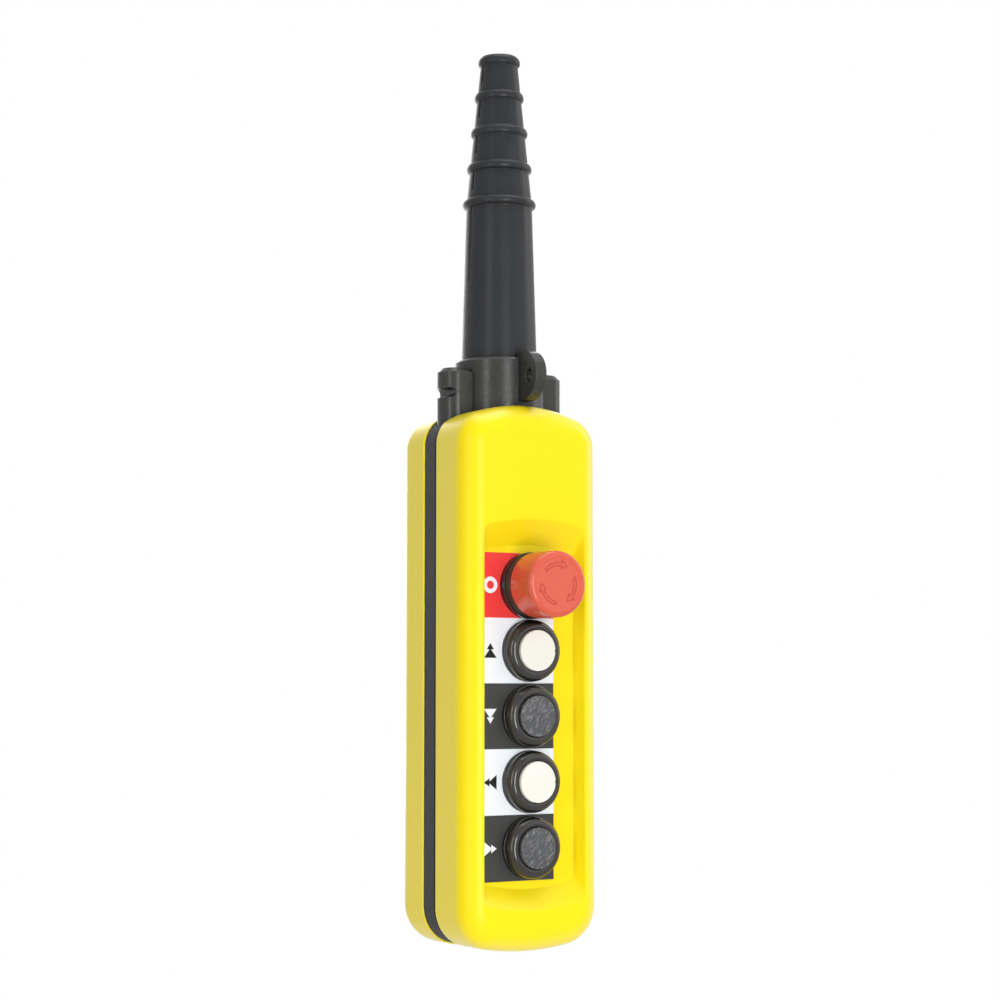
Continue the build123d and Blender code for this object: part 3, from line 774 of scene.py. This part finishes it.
ring_outline = rounded(
    bulge((RING_OUT, BULGE_FOOT), (CREST, CREST_HEIGHT)) + [
        (CAP_BORE, LIP, 0.25), (CAP_BORE, CAP_FLOOR, 0), (SPRING_BORE, CAP_FLOOR, 0),
        (SPRING_BORE, SPRING_FLOOR, 0), (STEM_BORE, SPRING_FLOOR, 0),
        (STEM_BORE, NECK_END, 0), (NECK, NECK_END, 0.3), (NECK, 0.0, 0), (FLANGE, 0.0, 0),
        (FLANGE, FLANGE_TOP, 0.35), (GROOVE, FLANGE_TOP, 0), (GROOVE, GROOVE_TOP, 0),
        (RING_OUT, GROOVE_TOP, 0.2),
    ]
)
print("ring outline points", len(ring_outline))

# %% [markdown]
# A cap is a shallow cup with a flat face and a small eased edge. It has a small gap in
# its edge, the mark of the gate where the plastic entered its mould. As on the boot,
# the sweep presses it in, with a narrow bell curve round the turn.

# %% Cap: outline and gate
CAP_OUT, CAP_FACE, CAP_EASE = 10.2, 9.6, 0.45
CAP_IN, CAP_ROOF, SKIRT_END = 8.9, 7.6, 5.7
GATE_FROM, GATE_WIDTH, GATE_DEPTH = 9.4, 0.045, 0.5
CAP_TURNS = 144

cap_outline = rounded([
    (0.0, CAP_ROOF, 0), (CAP_IN, CAP_ROOF, 0), (CAP_IN, SKIRT_END, 0),
    (CAP_OUT, SKIRT_END, 0), (CAP_OUT, CAP_FACE, CAP_EASE), (0.0, CAP_FACE, 0),
])


def on_cap(head):
    """The place function of a cap: that of its head, with the gate's gap in the edge."""
    plain = on_head(head)

    def place(radius, turn, height):
        away = (turn + pi) % (2 * pi) - pi
        if radius > GATE_FROM:
            radius -= GATE_DEPTH * exp(-((away / GATE_WIDTH) ** 2))
        return plain(radius, turn, height)

    return place


print("cap outline points", len(cap_outline))

# %% [markdown]
# With both outlines drawn, the four buttons are a loop. A ring rides on the housing and
# a cap on its own button, so each pose moves the cap alone. White and black caps take
# turns, as their plates do.

# %% Rings and caps
cap_finish = {"up": "cap_white", "down": "cap_black", "left": "cap_white", "right": "cap_black"}
for head, slot in cap_finish.items():
    ring_mesh = sweep(ring_outline, on_head(head), even_turns(RING_TURNS))
    ring = add_piece(head + "_ring", ring_mesh, "housing", "operator_black")
    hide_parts(head + "_bezel")
    cap_mesh = sweep(cap_outline, on_cap(head), even_turns(CAP_TURNS), closed=False)
    button = add_piece(head + "_button_cap", cap_mesh, head + "_button", slot)
    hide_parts(head + "_cap")
    print(head, "ring", len(ring.data.polygons), "cap", len(button.data.polygons))

# %% [markdown]
# The emergency stop's knob is a deep cup with a round edge, a face that is dished a
# little, and a hub inside that sits on its stem. A sphere cut flat would give the edge,
# but the real one is an easy curve into a nearly straight side, so it is turned from an
# outline too, with more steps in its corners because it stands out most.

# %% Knob of the emergency stop
KNOB_OUT, KNOB_FACE, KNOB_EASE, KNOB_FOOT = 16.5, 28.0, 2.4, 9.3
FACE_OUT, DISH_OUT, DISH_EASE, DISH = 13.8, 12.2, 3.0, 27.75
STEM_OUT, STEM_TOP = 3.45, 21.3
HUB_OUT, HUB_END = 6.4, 12.3
CUP_IN, CUP_ROOF = 13.9, 24.6
KNOB_STEPS, KNOB_TURNS = 9, 160

knob_outline = rounded([
    (KNOB_OUT, KNOB_FACE, KNOB_EASE), (FACE_OUT, KNOB_FACE, DISH_EASE),
    (DISH_OUT, DISH, DISH_EASE), (0.0, DISH, 0), (0.0, STEM_TOP, 0), (STEM_OUT, STEM_TOP, 0),
    (STEM_OUT, HUB_END, 0), (HUB_OUT, HUB_END, 0), (HUB_OUT, CUP_ROOF, 0),
    (CUP_IN, CUP_ROOF, 0.5), (CUP_IN, KNOB_FOOT, 0), (KNOB_OUT, KNOB_FOOT, 0.4),
], steps=KNOB_STEPS)
knob_mesh = sweep(knob_outline, on_head("stop"), even_turns(KNOB_TURNS))
knob = add_piece("turning_knob", knob_mesh, "stop_head", "knob_red")
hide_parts("stop_knob")
print("knob faces", len(knob.data.polygons))

# %% [markdown]
# Three arrows moulded on the knob's face show which way it turns to let go. They are
# fine lines, so each one is a thin closed ridge that follows an arrow's outline, and
# not a filled shape. At each corner the ridge is as wide as along the straight parts,
# which the reach of its two sides takes care of.

# %% Helper: a ridge along an outline
BLUNTEST = 0.4


def ridge(outline, half_width, low, high, place):
    """A thin closed ridge along a flat outline; place lifts (x, z) to a height."""
    build = bmesh.new()
    count = len(outline)
    rows = []
    for index, point in enumerate(outline):
        before = (point - outline[index - 1]).normalized()
        after = (outline[(index + 1) % count] - point).normalized()
        across = Vector((-before.y - after.y, before.x + after.x)).normalized()
        reach = half_width / max(BLUNTEST, across.dot(Vector((-after.y, after.x))))
        left, right = point + across * reach, point - across * reach
        section = ((left, low), (left, high), (right, high), (right, low))
        rows.append([build.verts.new(place(side, height)) for side, height in section])
    for row, after in zip(rows, rows[1:] + rows[:1]):
        for index in range(4):
            other = (index + 1) % 4
            build.faces.new([row[index], row[other], after[other], after[index]])
    return build


def on_stop_face(point, height):
    """The place function of the knob's face, for points given as (x, z)."""
    return (point.x * MM, -(LABEL_FACE + height) * MM, (HEADS["stop"] + point.y) * MM)


print("ready:", ridge.__name__)

# %% [markdown]
# An arrow is a piece of a ring band with a head. It runs clockwise from its tail, as
# the knob turns. The three stand evenly round the face, and each sinks a little into it
# so that no gap shows under the ridge.

# %% Arrows on the knob
ARROW_TAILS = (140, 20, -100)
TO_NECK, TO_TIP, SHAFT_STEPS = 60, 79, 14
SHAFT_OUT, SHAFT_IN = 10.5, 9.0
BARB_OUT, BARB_IN, TIP = 11.9, 7.7, 10.0
RIDGE_HALF, RIDGE_SINK, RIDGE_RISE = 0.2, 0.1, 0.12


def turning_arrow(tail):
    """Outline of a curved arrow that runs clockwise from an angle in degrees."""
    neck, tip = tail - TO_NECK, tail - TO_TIP

    def at(radius, angle):
        return Vector((radius * cos(radians(angle)), radius * sin(radians(angle))))

    steps = [tail + (neck - tail) * step / SHAFT_STEPS for step in range(SHAFT_STEPS + 1)]
    outside = [at(SHAFT_OUT, angle) for angle in steps]
    inside = [at(SHAFT_IN, angle) for angle in reversed(steps)]
    return outside + [at(BARB_OUT, neck), at(TIP, tip), at(BARB_IN, neck)] + inside


for index, tail in enumerate(ARROW_TAILS):
    arrow_mesh = ridge(
        turning_arrow(tail), RIDGE_HALF, DISH - RIDGE_SINK, DISH + RIDGE_RISE, on_stop_face
    )
    add_piece(f"knob_arrow_{index + 1}", arrow_mesh, "stop_head", "knob_red", paint="arrow_red")
print("arrows", len(ARROW_TAILS))

# %% [markdown]
# Between the knob and its base sits a soft black sleeve that folds when the knob is
# pressed. The outline has a waist, where the rubber starts to fold.

# %% Gaiter of the emergency stop
GAITER_FOOT, WAIST, GAITER_TOP = 4.0, 6.5, 9.0
GAITER_IN, GAITER_OUT = 13.2, 16.3
WAIST_IN, WAIST_OUT, WAIST_EASE = 12.9, 16.0, 1.5
GAITER_STEPS, GAITER_TURNS = 6, 144

gaiter_outline = rounded([
    (GAITER_IN, GAITER_FOOT, 0), (GAITER_OUT, GAITER_FOOT, 0.3), (WAIST_OUT, WAIST, WAIST_EASE),
    (GAITER_OUT, GAITER_TOP, 0.3), (GAITER_IN, GAITER_TOP, 0), (WAIST_IN, WAIST, 0),
], steps=GAITER_STEPS)
gaiter_mesh = sweep(gaiter_outline, on_head("stop"), even_turns(GAITER_TURNS))
gaiter = add_piece("folding_sleeve", gaiter_mesh, "housing", "gaiter_rubber")
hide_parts("stop_gaiter")
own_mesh(gaiter)
print("gaiter faces", len(gaiter.data.polygons))

# %% [markdown]
# The return springs are steel coils, one under each cap and one under the knob. A curve
# with a bevel would do, but a swept row of circles gives an exact mesh with closed
# ends.

# %% Return springs
COIL, WIRE, COIL_TURNS = 7.2, 0.45, 4
WIRE_SIDES, STEPS_A_TURN = 10, 36
SPRING_LOW, STOP_SPRING_HIGH, CAP_SPRING_HIGH = -5.35, 9.7, 7.3


def coil(head, low, high):
    """A round wire wound between two heights above the legend's face."""
    build = bmesh.new()
    place = on_head(head)
    rows = []
    total = COIL_TURNS * STEPS_A_TURN
    for index in range(total + 1):
        turn = 2 * pi * index / STEPS_A_TURN
        height = low + WIRE + (high - low - 2 * WIRE) * index / total
        circle = [2 * pi * side / WIRE_SIDES for side in range(WIRE_SIDES)]
        rows.append([
            build.verts.new(place(COIL + WIRE * cos(around), turn, height + WIRE * sin(around)))
            for around in circle
        ])
    for row, after in zip(rows, rows[1:]):
        for side in range(WIRE_SIDES):
            other = (side + 1) % WIRE_SIDES
            build.faces.new([row[side], row[other], after[other], after[side]])
    build.faces.new(rows[0])
    build.faces.new(rows[-1])
    return build


for head in HEADS:
    low, high = SPRING_LOW, STOP_SPRING_HIGH if head == "stop" else CAP_SPRING_HIGH
    spring = add_piece(head + "_coil", coil(head, low, high), "housing", "steel")
    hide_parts(head + "_spring")
    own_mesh(spring)

# %% [markdown]
# The legend plates are printed: a ring on the stop's plate, and a large and a small
# arrow head on each of the others. A texture could draw them, but print has a crisp
# edge at any distance, so each mark is a flat shape a few hundredths of a millimetre
# thick, lying on its plate. The ring is a sweep, as the turned parts are.

# %% Ring on the stop's plate
MARK_X = -22.3
MARK_LOW, MARK_HIGH = -0.03, 0.04
MARK_OUT, MARK_IN, MARK_TURNS = 4.1, 2.05, 72
PRINT_SHARP = 20.0


def on_mark(radius, turn, height):
    """The place function of the stop's mark, beside its head."""
    return (
        (MARK_X + radius * cos(turn)) * MM, -(LABEL_FACE + height) * MM,
        (HEADS["stop"] + radius * sin(turn)) * MM,
    )


ring_mark = rounded([
    (MARK_OUT, MARK_HIGH, 0), (MARK_IN, MARK_HIGH, 0), (MARK_IN, MARK_LOW, 0),
    (MARK_OUT, MARK_LOW, 0),
])
mark_mesh = sweep(ring_mark, on_mark, even_turns(MARK_TURNS))
add_piece("stop_mark", mark_mesh, "housing", "legend_white", PRINT_SHARP)
print("ring mark", MARK_OUT, "mm")

# %% [markdown]
# The arrow heads all come from the same two triangles, a large one with a small one at
# its tip. They are drawn pointing up, and turned by quarters for the other buttons. A
# mark on a black plate is white, and one on a white plate is black.

# %% Arrow heads on the other plates
BIG_ARROW = [(-3.65, -3.65), (3.65, -3.65), (0.0, 1.1)]
SMALL_ARROW = [(-2.1, 0.5), (2.1, 0.5), (0.0, 3.65)]
QUARTER_TURNS = {
    "up": lambda x, z: (x, z), "down": lambda x, z: (-x, -z),
    "left": lambda x, z: (-z, x), "right": lambda x, z: (z, -x),
}


def flat_shape(name, shapes, head, slot, paint):
    """Flat outlines in (x, z) about the mark's centre, given a small thickness."""
    build = bmesh.new()
    for shape in shapes:
        sides = []
        for height in (MARK_LOW, MARK_HIGH):
            y = -(LABEL_FACE + height) * MM
            sides.append([
                build.verts.new(((MARK_X + x) * MM, y, (HEADS[head] + z) * MM)) for x, z in shape
            ])
        low, high = sides
        build.faces.new(low)
        build.faces.new(high)
        for index in range(len(shape)):
            other = (index + 1) % len(shape)
            build.faces.new([low[index], low[other], high[other], high[index]])
    return add_piece(name, build, "housing", slot, sharp=PRINT_SHARP, paint=paint)


mark_finish = {"up": "black", "down": "white", "left": "black", "right": "white"}
paint_of = {"black": "mark_black", "white": "legend_white"}
for head, tone in mark_finish.items():
    turn = QUARTER_TURNS[head]
    shapes = [[turn(x, z) for x, z in shape] for shape in (BIG_ARROW, SMALL_ARROW)]
    flat_shape(head + "_mark", shapes, head, "legend_" + tone, paint_of[tone])
print("marks", 1 + len(mark_finish))

# %% [markdown]
# The floor is a pale disc under the station, which hangs a little above it. Its paint
# fades to clear towards the rim, so no edge and no horizon shows against the white
# ground, while the middle still catches the station's shadow. A little light of its
# own, seen by the camera alone, lifts it towards the white of the world.

# %% Floor
FLOOR_LEVEL, FLOOR_RADIUS, FLOOR_SEGMENTS = -0.62, 0.9, 96
FLOOR_COLOUR, FLOOR_ROUGHNESS, FLOOR_LIFT = (0.86, 0.86, 0.87, 1.0), 0.8, 0.35
FADE_START = 0.45

build = bmesh.new()
bmesh.ops.create_circle(build, cap_ends=True, segments=FLOOR_SEGMENTS, radius=FLOOR_RADIUS)
floor_mesh = bpy.data.meshes.new("studio_floor")
build.to_mesh(floor_mesh)
build.free()
floor = bpy.data.objects.new("studio_floor", floor_mesh)
floor.location.z = FLOOR_LEVEL
bpy.context.scene.collection.objects.link(floor)
print("floor radius", FLOOR_RADIUS)

# %% [markdown]
# The floor's paint measures each point's distance from the disc's middle in the
# object's own space, and turns it into Alpha with a smooth range.

# %% Paint of the floor
floor_paint = bpy.data.materials.new("pale_floor")
floor_paint.use_nodes = True
tree = floor_paint.node_tree
shader = tree.nodes["Principled BSDF"]
shader.inputs["Base Color"].default_value = FLOOR_COLOUR
shader.inputs["Roughness"].default_value = FLOOR_ROUGHNESS
shader.inputs["Emission Color"].default_value = (1.0, 1.0, 1.0, 1.0)
floor_rays = tree.nodes.new("ShaderNodeLightPath")
lift = calculate(tree, "MULTIPLY", floor_rays.outputs["Is Camera Ray"], FLOOR_LIFT)
tree.links.new(lift, shader.inputs["Emission Strength"])
spot = tree.nodes.new("ShaderNodeTexCoord")
length = tree.nodes.new("ShaderNodeVectorMath")
length.operation = "LENGTH"
tree.links.new(spot.outputs["Object"], length.inputs[0])
fade = tree.nodes.new("ShaderNodeMapRange")
fade.interpolation_type = "SMOOTHSTEP"
fade.inputs["From Min"].default_value = FLOOR_RADIUS * FADE_START
fade.inputs["From Max"].default_value = FLOOR_RADIUS
fade.inputs["To Min"].default_value = 1.0
fade.inputs["To Max"].default_value = 0.0
tree.links.new(length.outputs["Value"], fade.inputs["Value"])
tree.links.new(fade.outputs[0], shader.inputs["Alpha"])
floor.data.materials.append(floor_paint)
print("floor paint", floor_paint.name)
